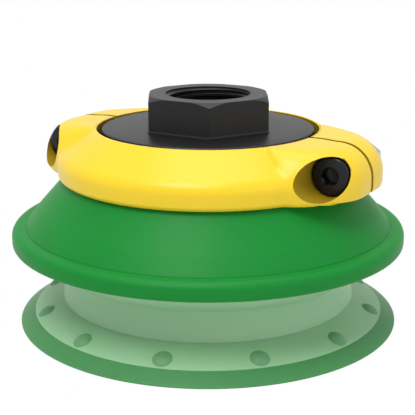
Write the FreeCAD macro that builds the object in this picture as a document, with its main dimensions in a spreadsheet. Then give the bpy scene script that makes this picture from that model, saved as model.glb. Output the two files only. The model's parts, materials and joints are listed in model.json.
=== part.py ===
"""Bellows vacuum cup held by a two-piece clamp on a threaded fitting.

All lengths are in millimetres and all angles in degrees.  The cup's axis is Z, the origin is the
centre of the circle on which the lip seals, and +Z points out of the threaded port.
"""
import FreeCAD, Part
import math
import os

import Sketcher

SIZES = [
    # sealing lip
    ("lip_radius", 37.5, "sealing edge"),
    ("lip_land", 1.4, "width of the flat land that seals"),
    ("lip_edge", 0.25, "height of the lip's outer edge"),
    ("bevel_width", 3.0, "from the sealing edge in to the ridge"),
    ("crest_level", 2.2, "height of that ridge"),
    ("slope_width", 5.5, "from the ridge in to where the lip turns up"),
    ("root_level", 4.8, "height of that turn"),
    ("lip_wall", 1.6, "lip thickness"),
    ("bump_count", 12, "stand-off bumps on the lip"),
    ("bump_inset", 1.75, "from the ridge in to the middle of a bump"),
    ("bump_radius", 1.8, "bump size on the slope"),
    ("bump_rise", 0.7, "bump height above the slope"),
    ("bump_sink", 0.5, "depth of a bump's root in the wall"),
    ("bump_turn", 16, "turn of the first bump from +X"),
    # lower fold
    ("waist_inset", 0.8, "from the lip's turn in to the waist"),
    ("waist_level", 10.35, "height of the waist"),
    ("waist_round", 1.2, "rounding of the waist"),
    ("fold_wall", 1.8, "thickness of the lower fold"),
    # rim
    ("rim_proud", 1.0, "how far the rim stands out past the sealing edge"),
    ("rim_low", 15.75, "underside of the rim"),
    ("rim_height", 3.35, "height of the rim at its edge"),
    ("rim_round", 1.5, "rounding of the rim's upper edge"),
    ("rim_edge", 0.5, "chamfer of the rim's lower edge"),
    ("bond_inset", 0.9, "from the rim's edge in to where soft meets firm"),
    ("groove_inset", 3.1, "from the rim's edge in to the groove inside it"),
    ("groove_rise", 1.25, "height of that groove above the rim's underside"),
    # cone
    ("crease_inset", 2.7, "from the rim's edge in to where the cone meets it"),
    ("crease_rise", 0.25, "height of that crease above the rim's edge"),
    ("flare_width", 2.2, "width of the cone's flared foot"),
    ("flare_height", 2.85, "height of that foot"),
    ("flare_round", 6.0, "rounding of the bend above it"),
    ("cone_inset", 1.3, "from the clamp's edge in to the cone under it"),
    ("cone_wall", 2.4, "thickness of the cone"),
    ("cone_tuck", 0.2, "how far the cone reaches up inside the clamp"),
    # neck
    ("neck_wall", 3.3, "thickness of the neck outside the plate"),
    ("neck_foot", 1.0, "height of the neck's shoulder above the clamp's underside"),
    ("neck_gap", 0.1, "clearance between the neck and the parts that hold it"),
    # clamp
    ("clamp_level", 28.6, "underside of the clamp"),
    ("clamp_height", 9.3, "height of the clamp"),
    ("clamp_wall", 5.3, "width of the clamp's band round the neck"),
    ("clamp_roof", 2.3, "thickness of the clamp's top over the neck"),
    ("clamp_rise", 5.0, "height of the clamp's conical slope"),
    ("clamp_flat", 0.5, "flat width round the hole"),
    ("clamp_shoulder", 3.0, "rounding between slope and band"),
    ("clamp_edge", 0.5, "chamfer of the clamp's lower edge"),
    ("clamp_turn", -29.5, "turn of the split from +X"),
    ("split_gap", 1.0, "gap between the two halves"),
    ("ear_length", 5.0, "from a screw's axis out to the end of its ear"),
    ("ear_drop", 0.2, "ear top below the clamp's top"),
    ("ear_corner", 8.0, "rounding of an ear's corner, seen from above"),
    ("ear_flat", 1.8, "half width of the flat end between the two corners"),
    ("ear_round", 6.2, "rounding of an ear's upper edge"),
    # screws and nuts
    ("screw_inset", 0.1, "from the band's outside in to a screw's axis"),
    ("screw_rise", 4.4, "screw axis above the clamp's underside"),
    ("screw_radius", 2.0, "thread"),
    ("screw_length", 12.0, "length under the head"),
    ("screw_seat", 3.9, "seat of the head from the split"),
    ("head_radius", 3.5, "cap head"),
    ("head_height", 4.0, "cap head"),
    ("head_edge", 0.3, "chamfer of the cap head"),
    ("socket_flats", 3.0, "hexagon socket across flats"),
    ("socket_depth", 2.0, "hexagon socket"),
    ("screw_gap", 0.25, "clearance of the screw in its hole"),
    ("head_gap", 0.5, "clearance of the head in its counterbore"),
    ("nut_flats", 7.0, "nut across flats"),
    ("nut_height", 3.2, "nut"),
    ("nut_seat", 4.9, "seat of the nut from the split"),
    ("nut_gap", 0.1, "clearance of the nut in its pocket"),
    ("thread_gap", 0.05, "clearance between thread and nut"),
    # fitting
    ("plate_radius", 20.6, "plate inside the clamp's hole"),
    ("plate_gap", 0.97, "gap between the plate and the clamp's hole"),
    ("plate_drop", 0.02, "plate top below the clamp's top"),
    ("plate_height", 2.6, "plate"),
    ("plate_edge", 0.3, "chamfer of the plate"),
    ("groove_depth", 3.6, "depth of the groove that the neck grips"),
    ("groove_height", 2.7, "height of that groove"),
    ("flange_height", 2.4, "flange under the groove"),
    ("hex_flats", 22.6, "hexagon across flats"),
    ("hex_height", 6.55, "hexagon above the plate"),
    ("hex_turn", 1.0, "turn of the hexagon's corner from -Y"),
    ("hex_face", 0.3, "flat top's radius beyond half the width across flats"),
    ("hex_fall", 0.58, "fall of the hexagon's chamfer per length"),
    ("hex_fillet", 0.45, "fillet at the hexagon's foot"),
    ("port_radius", 7.475, "threaded port, at the thread's crests"),
    ("port_chamfer", 0.3, "chamfer of the port"),
    ("port_length", 10.4, "threaded length"),
    ("hub_wall", 3.0, "wall between the neck's groove and the filter's recess"),
    ("filter_depth", 2.3, "depth of that recess"),
    ("filter_ledge", 2.0, "ledge that the filter lies against"),
    # filter
    ("filter_gap", 0.05, "clearance of filter and ring in the recess"),
    ("mesh_height", 0.6, "filter disc"),
    ("mesh_pitch", 3.0, "pitch of the filter's wires"),
    ("mesh_wire", 0.6, "width of a wire"),
    ("mesh_wires", 9, "wires each way"),
    ("ring_height", 1.4, "retaining ring"),
    ("ring_width", 1.7, "retaining ring"),
]
ROOT_3 = math.sqrt(3)       # a hexagon's width across flats over its side
SPARE = 1.0                 # how far a cutting outline runs past the surface that it cuts
FAR = 60.0                  # reach of a tool that cuts right through, never part of a shape

document = FreeCAD.newDocument("VacuumCup")
sheet = document.addObject("Spreadsheet::Sheet", "Sizes")


class Size:
    """A number together with the expression that binds it to the sheet."""

    def __init__(self, value, text=None):
        self.value = float(value)
        self.text = text or repr(round(float(value), 6))

    def __add__(self, other):
        other = as_size(other)
        return Size(self.value + other.value, f"({self.text} + {other.text})")

    def __sub__(self, other):
        other = as_size(other)
        return Size(self.value - other.value, f"({self.text} - {other.text})")

    def __mul__(self, other):
        other = as_size(other)
        return Size(self.value * other.value, f"({self.text} * {other.text})")

    def __truediv__(self, other):
        other = as_size(other)
        return Size(self.value / other.value, f"({self.text} / {other.text})")

    def __neg__(self):
        return self * -1


def as_size(number):
    return number if isinstance(number, Size) else Size(number)


def root(number):
    return Size(math.sqrt(number.value), f"sqrt({number.text})")


class Names:
    """The sheet's sizes by name."""


def fill_sheet():
    names = Names()
    for row, (name, value, meaning) in enumerate(SIZES, start=1):
        sheet.set(f"A{row}", meaning)
        sheet.set(f"B{row}", str(value))
        sheet.setAlias(f"B{row}", name)
        setattr(names, name, Size(value, f"Sizes.{name}"))
    document.recompute()
    return names


S = fill_sheet()
parts = []


def new_body(name):
    body = document.addObject("PartDesign::Body", name)
    body.Label = name
    parts.append(body)
    return body


def bind(thing, **expressions):
    """Bind properties to sizes; a double underscore in a name stands for a dot."""
    for name, size in expressions.items():
        thing.setExpression(name.replace("__", "."), as_size(size).text)


def turn_about_axis(body, angle):
    turn = FreeCAD.Rotation(FreeCAD.Vector(0, 0, 1), angle.value)
    body.Placement = FreeCAD.Placement(FreeCAD.Vector(), turn)
    bind(body, Placement__Rotation__Angle=angle)


def new_sketch(body, name, plane, offset=(0, 0, 0)):
    sketch = body.newObject("Sketcher::SketchObject", name)
    support = [item for item in body.Origin.OriginFeatures if item.Role == plane][0]
    sketch.AttachmentSupport = [(support, "")]
    sketch.MapMode = "FlatFace"
    x, y, z = [as_size(value) for value in offset]
    sketch.AttachmentOffset = FreeCAD.Placement(FreeCAD.Vector(x.value, y.value, z.value), FreeCAD.Rotation())
    bind(sketch, AttachmentOffset__Base__x=x, AttachmentOffset__Base__y=y, AttachmentOffset__Base__z=z)
    return sketch


def hold(sketch, kind, curve, point, value):
    """Dimension one point of a sketch from its origin."""
    if value.text == "0.0":
        axis = -2 if kind == "DistanceX" else -1
        sketch.addConstraint(Sketcher.Constraint("PointOnObject", curve, point, axis))
        return
    index = sketch.addConstraint(Sketcher.Constraint(kind, -1, 1, curve, point, value.value))
    sketch.setExpression(f"Constraints[{index}]", value.text)


def toward(start, end, distance):
    """Point at a distance from the start on the way to the end, in numbers."""
    step = (end - start).normalize()
    return start + step * distance


def add_outline(sketch, corners, rounds=None):
    """A closed outline in the order of its corners, each corner dimensioned from the origin.

    Rounds maps the number of a corner to the radius of the arc that takes its place; the corner then stays as
    a construction point on both of its sides.
    """
    rounds = rounds or {}
    corners = [(as_size(x), as_size(y)) for x, y in corners]
    points = [FreeCAD.Vector(x.value, y.value, 0) for x, y in corners]
    count = len(points)
    starts, ends, arcs = {}, {}, {}
    for number, point in enumerate(points):
        starts[number], ends[number] = point, point
        if number in rounds:
            before, after = points[number - 1], points[(number + 1) % count]
            half = (before - point).getAngle(after - point) / 2
            reach = rounds[number].value / math.tan(half)
            ends[number], starts[number] = toward(point, before, reach), toward(point, after, reach)
            middle = (ends[number] + starts[number]) * 0.5
            centre = toward(point, middle, rounds[number].value / math.sin(half))
            arcs[number] = Part.Arc(ends[number], toward(centre, point, rounds[number].value), starts[number])
    sides = [sketch.addGeometry(Part.LineSegment(starts[number], ends[(number + 1) % count]), False)
             for number in range(count)]
    for number, (x, y) in enumerate(corners):
        before, side = sides[number - 1], sides[number]
        if number in rounds:
            arc = sketch.addGeometry(arcs[number], False)
            at_first = sketch.getPoint(arc, 1).isEqual(ends[number], 1e-6)
            first, last = (1, 2) if at_first else (2, 1)
            sketch.addConstraint(Sketcher.Constraint("Tangent", before, 2, arc, first))
            sketch.addConstraint(Sketcher.Constraint("Tangent", arc, last, side, 1))
            index = sketch.addConstraint(Sketcher.Constraint("Radius", arc, rounds[number].value))
            sketch.setExpression(f"Constraints[{index}]", rounds[number].text)
            corner = sketch.addGeometry(Part.Point(points[number]), True)
            sketch.addConstraint(Sketcher.Constraint("PointOnObject", corner, 1, before))
            sketch.addConstraint(Sketcher.Constraint("PointOnObject", corner, 1, side))
            held, end = corner, 1
        else:
            sketch.addConstraint(Sketcher.Constraint("Coincident", before, 2, side, 1))
            held, end = side, 1
        hold(sketch, "DistanceX", held, end, x)
        hold(sketch, "DistanceY", held, end, y)


def add_circle(sketch, x, y, radius):
    x, y = as_size(x), as_size(y)
    centre = FreeCAD.Vector(x.value, y.value, 0)
    curve = sketch.addGeometry(Part.Circle(centre, FreeCAD.Vector(0, 0, 1), radius.value), False)
    hold(sketch, "DistanceX", curve, 3, x)
    hold(sketch, "DistanceY", curve, 3, y)
    index = sketch.addConstraint(Sketcher.Constraint("Radius", curve, radius.value))
    sketch.setExpression(f"Constraints[{index}]", radius.text)


def hexagon(flats, x=0, y=0):
    """Corners of a hexagon with two of its flats level."""
    side, half = flats / ROOT_3, flats / 2
    x, y = as_size(x), as_size(y)
    steps = [(side, Size(0)), (side * 0.5, half), (side * -0.5, half),
             (side * -1, Size(0)), (side * -0.5, half * -1), (side * 0.5, half * -1)]
    return [(x + across, y + up if up.value else y) for across, up in steps]


def revolve(body, name, corners, kind="PartDesign::Revolution", plane="XZ_Plane", offset=(0, 0, 0),
            rounds=None):
    """A solid or a groove turned round the vertical axis of its sketch."""
    sketch = new_sketch(body, name + "Profile", plane, offset)
    add_outline(sketch, corners, rounds)
    feature = body.newObject(kind, name)
    feature.Profile = sketch
    feature.ReferenceAxis = (sketch, ["V_Axis"])
    feature.Angle = 360
    document.recompute()
    return feature


def pad(body, name, corners, length, plane="XY_Plane", offset=(0, 0, 0), hole=None, rounds=None):
    sketch = new_sketch(body, name + "Outline", plane, offset)
    add_outline(sketch, corners, rounds)
    if hole is not None:
        add_circle(sketch, *hole)
    feature = body.newObject("PartDesign::Pad", name)
    feature.Profile = sketch
    feature.Length = length.value
    bind(feature, Length=length)
    document.recompute()
    return feature


def pocket(body, name, corners, length, plane, offset=(0, 0, 0), outward=False):
    before = body.Shape.Volume
    sketch = new_sketch(body, name + "Outline", plane, offset)
    add_outline(sketch, corners)
    feature = body.newObject("PartDesign::Pocket", name)
    feature.Profile = sketch
    feature.Reversed = outward
    feature.Length = as_size(length).value
    bind(feature, Length=length)
    document.recompute()
    if not body.Shape.Volume < before:
        raise RuntimeError(f"{name} cut nothing")
    return feature


def polar(body, name, feature, count):
    pattern = body.newObject("PartDesign::PolarPattern", name)
    pattern.Originals = [feature]
    axis = [item for item in body.Origin.OriginFeatures if item.Role == "Z_Axis"][0]
    pattern.Axis = (axis, [""])
    pattern.Angle = 360
    pattern.Occurrences = int(count.value)
    bind(pattern, Occurrences=count)
    body.Tip = pattern
    document.recompute()
    return pattern


def edge_names(shape, wanted):
    """Names of the edges whose middle and curve pass the test."""
    names = []
    for number, edge in enumerate(shape.Edges, start=1):
        middle = edge.valueAt((edge.FirstParameter + edge.LastParameter) / 2)
        if wanted(edge, middle):
            names.append(f"Edge{number}")
    return names


def dress(body, kind, name, size, wanted):
    """A fillet or a chamfer on the edges that pass the test."""
    base = body.Tip
    edges = edge_names(base.Shape, wanted)
    if not edges:
        raise RuntimeError(f"{name} found no edge")
    feature = body.newObject(f"PartDesign::{kind}", name)
    feature.Base = (base, edges)
    if kind == "Fillet":
        feature.Radius = size.value
        bind(feature, Radius=size)
    else:
        feature.Size = size.value
        bind(feature, Size=size)
    document.recompute()
    return feature


def near(first, second):
    return abs(first - second) < 0.01


def ring_at(radius, level):
    """Test for a circular edge round the cup's axis."""
    def wanted(edge, middle):
        if not isinstance(edge.Curve, Part.Circle) or not near(middle.z, level.value):
            return False
        return near(math.hypot(middle.x, middle.y), radius.value)
    return wanted


def square_step(start, end, distance):
    """Step of a given distance to the right of the line from start to end."""
    run, rise = end[0] - start[0], end[1] - start[1]
    length = root(run * run + rise * rise)
    return rise / length * distance, run / length * distance * -1


def stepped(point, step):
    return point[0] + step[0], point[1] + step[1]


# Heights of the clamp and of the fitting in it.
CLAMP_TOP = S.clamp_level + S.clamp_height
SLOPE_LOW = CLAMP_TOP - S.clamp_rise
PLATE_TOP = CLAMP_TOP - S.plate_drop
PLATE_LOW = PLATE_TOP - S.plate_height
FLANGE_TOP = PLATE_LOW - S.groove_height
FLANGE_LOW = FLANGE_TOP - S.flange_height
HEX_TOP = PLATE_TOP + S.hex_height
FILTER_CEILING = FLANGE_LOW + S.filter_depth
MESH_LOW = FILTER_CEILING - S.mesh_height
NECK_TOP = CLAMP_TOP - S.clamp_roof - S.neck_gap
NECK_FOOT = S.clamp_level + S.neck_foot
SCREW_LEVEL = S.clamp_level + S.screw_rise

# Radii that grow outwards from the fitting's plate.
CLAMP_HOLE = S.plate_radius + S.plate_gap
NECK_RADIUS = S.plate_radius + S.neck_wall
CLAMP_RADIUS = NECK_RADIUS + S.clamp_wall
CONE_RADIUS = CLAMP_RADIUS - S.cone_inset
SCREW_REACH = CLAMP_RADIUS - S.screw_inset
EAR_REACH = SCREW_REACH + S.ear_length
HUB_RADIUS = S.plate_radius - S.groove_depth
FILTER_SEAT = HUB_RADIUS - S.hub_wall
FILTER_RADIUS = FILTER_SEAT - S.filter_gap
HEX_FACE = S.hex_flats / 2 + S.hex_face

# Corners that two pieces of the moulding share, as (radius, height).
CREST = (S.lip_radius - S.bevel_width, S.crest_level)
ROOT = (CREST[0] - S.slope_width, S.root_level)
LIP_STEP = square_step(CREST, ROOT, S.lip_wall * -1)
ROOT_INSIDE = stepped(ROOT, LIP_STEP)
WAIST = (ROOT[0] - S.waist_inset, S.waist_level)
RIM_TOP = S.rim_low + S.rim_height
RIM_RADIUS = S.lip_radius + S.rim_proud
BOND = (RIM_RADIUS - S.bond_inset, S.rim_low)
GROOVE = (RIM_RADIUS - S.groove_inset, S.rim_low + S.groove_rise)
CREASE = (RIM_RADIUS - S.crease_inset, RIM_TOP + S.crease_rise)
FLARE = (CREASE[0] - S.flare_width, CREASE[1] + S.flare_height)
CREASE_INSIDE = stepped(CREASE, square_step(FLARE, CREASE, S.cone_wall))
CONE_RUN = (FLARE[0] - CONE_RADIUS) / (S.clamp_level - FLARE[1])
CONE_TOP = (CONE_RADIUS - CONE_RUN * S.cone_tuck, S.clamp_level + S.cone_tuck)
CONE_STEP = square_step(CONE_TOP, FLARE, S.cone_wall)
CONE_TOP_INSIDE = stepped(CONE_TOP, CONE_STEP)


def make_sealing_lip():
    """Soft lip: flat land, bevelled edge, thin cone and a ring of stand-off bumps."""
    body = new_body("sealing_lip")
    crest_inside = stepped(CREST, LIP_STEP)
    revolve(body, "Lip", [(S.lip_radius - S.lip_land, 0), (S.lip_radius, 0), (S.lip_radius, S.lip_edge),
                          CREST, ROOT, ROOT_INSIDE, crest_inside])
    # A bump is a lens turned round an axis square to the slope.
    run, rise = ROOT[0] - CREST[0], ROOT[1] - CREST[1]
    length = root(run * run + rise * rise)
    along = (run / length, rise / length)
    up = (rise / length, run / length * -1)
    foot = (CREST[0] - S.bump_inset, CREST[1] - rise / run * S.bump_inset)

    def spot(sideways, height):
        across = (foot[0] + along[0] * sideways, foot[1] + along[1] * sideways)
        return stepped(across, (up[0] * height, up[1] * height))

    ball = (S.bump_radius * S.bump_radius + S.bump_rise * S.bump_rise) / (S.bump_rise * 2)
    sketch = new_sketch(body, "BumpProfile", "XZ_Plane")
    low, side, edge, top = spot(0, S.bump_sink * -1), spot(S.bump_radius, S.bump_sink * -1), \
        spot(S.bump_radius, 0), spot(0, S.bump_rise)
    centre = spot(0, S.bump_rise - ball)
    corners = [FreeCAD.Vector(x.value, y.value, 0) for x, y in (top, low, side, edge)]
    middle = FreeCAD.Vector(centre[0].value, centre[1].value, 0)
    for start, end in zip(corners, corners[1:]):
        sketch.addGeometry(Part.LineSegment(start, end), False)
    angles = [math.atan2(point.y - middle.y, point.x - middle.x) for point in (corners[0], corners[3])]
    circle = Part.Circle(middle, FreeCAD.Vector(0, 0, 1), ball.value)
    sketch.addGeometry(Part.ArcOfCircle(circle, min(angles), max(angles)), False)
    starts_at_edge = angles[1] < angles[0]
    arc_edge, arc_top = (1, 2) if starts_at_edge else (2, 1)
    sketch.addConstraint(Sketcher.Constraint("Coincident", 0, 2, 1, 1))
    sketch.addConstraint(Sketcher.Constraint("Coincident", 1, 2, 2, 1))
    sketch.addConstraint(Sketcher.Constraint("Coincident", 2, 2, 3, arc_edge))
    sketch.addConstraint(Sketcher.Constraint("Coincident", 3, arc_top, 0, 1))
    for line, point in ((0, top), (1, low), (2, side)):
        hold(sketch, "DistanceX", line, 1, point[0])
        hold(sketch, "DistanceY", line, 1, point[1])
    hold(sketch, "DistanceX", 2, 2, edge[0])
    hold(sketch, "DistanceY", 2, 2, edge[1])
    index = sketch.addConstraint(Sketcher.Constraint("Radius", 3, ball.value))
    sketch.setExpression(f"Constraints[{index}]", ball.text)
    bump = body.newObject("PartDesign::Revolution", "Bump")
    bump.Profile = sketch
    bump.ReferenceAxis = (sketch, ["Edge1"])
    bump.Angle = 360
    document.recompute()
    polar(body, "Bumps", bump, S.bump_count)
    turn_about_axis(body, S.bump_turn)


def make_lower_fold():
    """Soft wall from the lip's root, over the waist, out to the rim."""
    body = new_body("lower_fold")
    wall = square_step(ROOT, WAIST, S.fold_wall * -1)
    flank = square_step(WAIST, BOND, S.fold_wall * -1)
    low = (ROOT[0] + wall[0], ROOT_INSIDE[1] + S.fold_wall)
    high = (WAIST[0] + wall[0], WAIST[1] + flank[1])
    revolve(body, "Fold", [ROOT, WAIST, BOND, GROOVE, high, low, ROOT_INSIDE], rounds={1: S.waist_round})


def make_rim_bead():
    """Firm bead at the bellows' widest place."""
    body = new_body("rim_bead")
    revolve(body, "Rim", [CREASE, (RIM_RADIUS, RIM_TOP), (RIM_RADIUS, S.rim_low + S.rim_edge),
                          (RIM_RADIUS - S.rim_edge, S.rim_low), BOND, GROOVE, CREASE_INSIDE],
            rounds={1: S.rim_round})


def make_cone_wall():
    """Firm conical wall from under the clamp out to the rim."""
    body = new_body("cone_wall")
    flare_inside = stepped(FLARE, CONE_STEP)
    revolve(body, "Cone", [CONE_TOP, FLARE, CREASE, CREASE_INSIDE, flare_inside, CONE_TOP_INSIDE],
            rounds={1: S.flare_round, 4: S.flare_round})


def make_cup_neck():
    """Thick neck, gripped between the clamp and the groove of the fitting."""
    body = new_body("cup_neck")
    wide = S.plate_radius + S.neck_gap
    narrow = HUB_RADIUS + S.neck_gap
    revolve(body, "Neck", [CONE_TOP, (NECK_RADIUS, NECK_FOOT), (NECK_RADIUS, NECK_TOP), (wide, NECK_TOP),
                           (wide, PLATE_LOW - S.neck_gap), (narrow, PLATE_LOW - S.neck_gap),
                           (narrow, FLANGE_TOP + S.neck_gap), (wide, FLANGE_TOP + S.neck_gap),
                           (wide, FLANGE_LOW), CONE_TOP_INSIDE])


def make_fitting():
    """Turned fitting: hexagon, plate, neck groove, flange and the recess for the filter."""
    body = new_body("fitting_body")
    funnel_top = HEX_TOP - S.port_length
    revolve(body, "Hub", [(S.port_radius, PLATE_TOP), (S.plate_radius - S.plate_edge, PLATE_TOP),
                          (S.plate_radius, PLATE_TOP - S.plate_edge), (S.plate_radius, PLATE_LOW),
                          (HUB_RADIUS, PLATE_LOW), (HUB_RADIUS, FLANGE_TOP), (S.plate_radius, FLANGE_TOP),
                          (S.plate_radius, FLANGE_LOW), (FILTER_SEAT, FLANGE_LOW),
                          (FILTER_SEAT, FILTER_CEILING), (FILTER_SEAT - S.filter_ledge, FILTER_CEILING),
                          (S.port_radius, funnel_top)])
    pad(body, "Hexagon", hexagon(S.hex_flats), S.hex_height, offset=(0, 0, PLATE_TOP),
        hole=(0, 0, S.port_radius))
    corner = S.hex_flats / ROOT_3 + SPARE
    fall = (corner - HEX_FACE) * S.hex_fall
    revolve(body, "HexagonChamfer", [(HEX_FACE, HEX_TOP), (corner, HEX_TOP - fall), (corner, HEX_TOP + SPARE),
                                     (HEX_FACE, HEX_TOP + SPARE)], kind="PartDesign::Groove")
    dress(body, "Fillet", "HexagonFoot", S.hex_fillet,
          lambda edge, middle: isinstance(edge.Curve, Part.Line) and near(middle.z, PLATE_TOP.value)
          and S.port_radius.value < math.hypot(middle.x, middle.y) < corner.value)
    dress(body, "Chamfer", "PortEdge", S.port_chamfer, ring_at(S.port_radius, HEX_TOP))
    turn_about_axis(body, S.hex_turn - 90)


def make_filter_mesh():
    """Filter disc: crossed wires in a rim, held under the funnel."""
    body = new_body("filter_mesh")
    inner = FILTER_RADIUS - S.ring_width
    top = MESH_LOW + S.mesh_height
    revolve(body, "DiscRim", [(inner, MESH_LOW), (FILTER_RADIUS, MESH_LOW), (FILTER_RADIUS, top),
                              (inner, top)])
    reach = FILTER_RADIUS + SPARE
    span = S.mesh_pitch * (S.mesh_wires - 1)
    near_side = (span + S.mesh_wire) / -2
    far_side = near_side + S.mesh_wire
    for name, axis in (("WiresAlongX", "Y_Axis"), ("WiresAlongY", "X_Axis")):
        if axis == "Y_Axis":
            wire = [(-reach, near_side), (reach, near_side), (reach, far_side), (-reach, far_side)]
        else:
            wire = [(near_side, -reach), (far_side, -reach), (far_side, reach), (near_side, reach)]
        first = pad(body, name, wire, S.mesh_height, offset=(0, 0, MESH_LOW))
        row = body.newObject("PartDesign::LinearPattern", name + "Row")
        row.Originals = [first]
        row.Direction = ([item for item in body.Origin.OriginFeatures if item.Role == axis][0], [""])
        row.Length = span.value
        row.Occurrences = int(S.mesh_wires.value)
        bind(row, Length=span, Occurrences=S.mesh_wires)
        body.Tip = row
        document.recompute()
    outside = FILTER_RADIUS * 2
    below, above = MESH_LOW - SPARE, top + SPARE
    revolve(body, "DiscEdge", [(FILTER_RADIUS, below), (outside, below), (outside, above),
                               (FILTER_RADIUS, above)], kind="PartDesign::Groove")


def make_filter_ring():
    """Ring pressed into the recess, under the filter's edge."""
    body = new_body("filter_ring")
    low = MESH_LOW - S.ring_height
    inner = FILTER_RADIUS - S.ring_width
    revolve(body, "Ring", [(inner, low), (FILTER_RADIUS, low), (FILTER_RADIUS, MESH_LOW), (inner, MESH_LOW)])


def add_ears(body, side):
    """Both ears: a rounded bar along the split, with a turned corner at each end."""
    top, low = CLAMP_TOP - S.ear_drop, S.clamp_level
    end = EAR_REACH * -1
    bar = [(end + S.clamp_edge, low), (EAR_REACH - S.clamp_edge, low), (EAR_REACH, low + S.clamp_edge),
           (EAR_REACH, top), (end, top), (end, low + S.clamp_edge)]
    behind = S.ear_flat * -1 if side > 0 else 0
    pad(body, "EarBar", bar, S.ear_flat, plane="XZ_Plane", offset=(0, 0, behind),
        rounds={3: S.ear_round, 4: S.ear_round})
    corner = [(0, low), (S.ear_corner - S.clamp_edge, low), (S.ear_corner, low + S.clamp_edge),
              (S.ear_corner, top), (0, top)]
    for name, centre in (("EarRight", EAR_REACH - S.ear_corner), ("EarLeft", S.ear_corner - EAR_REACH)):
        revolve(body, name, corner, offset=(centre, 0, S.ear_flat * side * -1), rounds={3: S.ear_round})


def make_clamp(name, side):
    """One half of the clamp; side is -1 for the half with the heads and +1 for the half with the nuts."""
    body = new_body(name)
    add_ears(body, side)
    revolve(body, "Ring", [(CLAMP_HOLE, CLAMP_TOP), (CLAMP_HOLE + S.clamp_flat, CLAMP_TOP),
                           (CLAMP_RADIUS, SLOPE_LOW), (CLAMP_RADIUS, S.clamp_level + S.clamp_edge),
                           (CLAMP_RADIUS - S.clamp_edge, S.clamp_level), (CLAMP_HOLE, S.clamp_level)],
            rounds={2: S.clamp_shoulder})
    roof = CLAMP_TOP - S.clamp_roof
    seat = NECK_RADIUS + S.neck_gap
    mouth = CONE_RADIUS + S.neck_gap
    below, above = S.clamp_level - SPARE, CLAMP_TOP + SPARE
    revolve(body, "Seat", [(0, below), (mouth, below), (mouth, S.clamp_level),
                           (CONE_TOP[0] + S.neck_gap, CONE_TOP[1]), (seat, NECK_FOOT + S.neck_gap),
                           (seat, roof), (CLAMP_HOLE, roof), (CLAMP_HOLE, above), (0, above)],
            kind="PartDesign::Groove")
    face = S.split_gap / 2 * side
    beyond = FAR * side * -1
    pocket(body, "Split", [(-FAR, face), (FAR, face), (FAR, beyond), (-FAR, beyond)], FAR, "XY_Plane",
           outward=True)
    hole = S.screw_radius + S.screw_gap
    bore = S.head_radius + S.head_gap
    seat = S.screw_seat * -1
    for hand, word in ((1, "Right"), (-1, "Left")):
        place = (SCREW_REACH * hand, 0, SCREW_LEVEL)
        if side < 0:
            corners = [(0, FAR), (0, -FAR), (bore, -FAR), (bore, seat), (hole, seat), (hole, FAR)]
        else:
            corners = [(0, FAR), (0, -FAR), (hole, -FAR), (hole, FAR)]
        revolve(body, f"ScrewHole{word}", corners, kind="PartDesign::Groove", plane="XY_Plane", offset=place)
        if side > 0:
            pocket(body, f"NutPocket{word}", hexagon(S.nut_flats + S.nut_gap * 2), FAR, "XZ_Plane",
                   offset=(place[0], SCREW_LEVEL, S.nut_seat * -1))
    turn_about_axis(body, S.clamp_turn)


def make_screw(name, hand):
    """Cap screw with a hexagon socket; hand is +1 for the ear on the +X side."""
    body = new_body(name)
    place = (SCREW_REACH * hand, 0, SCREW_LEVEL)
    face = (S.screw_seat + S.head_height) * -1
    tip = S.screw_length - S.screw_seat
    revolve(body, "Screw", [(0, tip), (0, face), (S.head_radius - S.head_edge, face),
                            (S.head_radius, face + S.head_edge), (S.head_radius, S.screw_seat * -1),
                            (S.screw_radius, S.screw_seat * -1), (S.screw_radius, tip)],
            plane="XY_Plane", offset=place)
    pocket(body, "Socket", hexagon(S.socket_flats), S.socket_depth, "XZ_Plane",
           offset=(place[0], SCREW_LEVEL, face * -1))
    turn_about_axis(body, S.clamp_turn)


def make_nut(name, hand):
    """Hexagon nut in the pocket of the clamp's rear half."""
    body = new_body(name)
    pad(body, "Nut", hexagon(S.nut_flats), S.nut_height, plane="XZ_Plane",
        offset=(SCREW_REACH * hand, SCREW_LEVEL, (S.nut_seat + S.nut_height) * -1),
        hole=(0, 0, S.screw_radius + S.thread_gap))
    turn_about_axis(body, S.clamp_turn)


def export_parts():
    document.recompute()
    failed = [item.Name for item in document.Objects if "Invalid" in item.State or "Error" in item.State]
    if failed:
        raise RuntimeError(f"failed objects: {failed}")
    for part in parts:
        if part.Shape.isNull() or not part.Shape.isValid():
            raise RuntimeError(f"{part.Label} has no valid shape")
    os.makedirs("parts", exist_ok=True)
    for part in parts:
        part.Shape.exportStep(f"parts/{part.Label}.step")
        print(f"{part.Label}: {len(part.Shape.Solids)} solid, {part.Shape.Volume:.0f} mm3")


make_sealing_lip()
make_lower_fold()
make_rim_bead()
make_cone_wall()
make_cup_neck()
make_fitting()
make_filter_mesh()
make_filter_ring()
make_clamp("clamp_front", -1)
make_clamp("clamp_rear", 1)
make_screw("screw_right", 1)
make_screw("screw_left", -1)
make_nut("nut_right", 1)
make_nut("nut_left", -1)
export_parts()
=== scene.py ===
"""Bellows vacuum cup on a threaded fitting, dressed as an add-on that builds each piece with one operator.

Lengths are in metres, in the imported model's own frame: the cup's axis is Z and the sealing lip rests at zero.
"""
import json
import math


import bmesh
import bpy
from mathutils import Matrix, Vector


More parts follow.
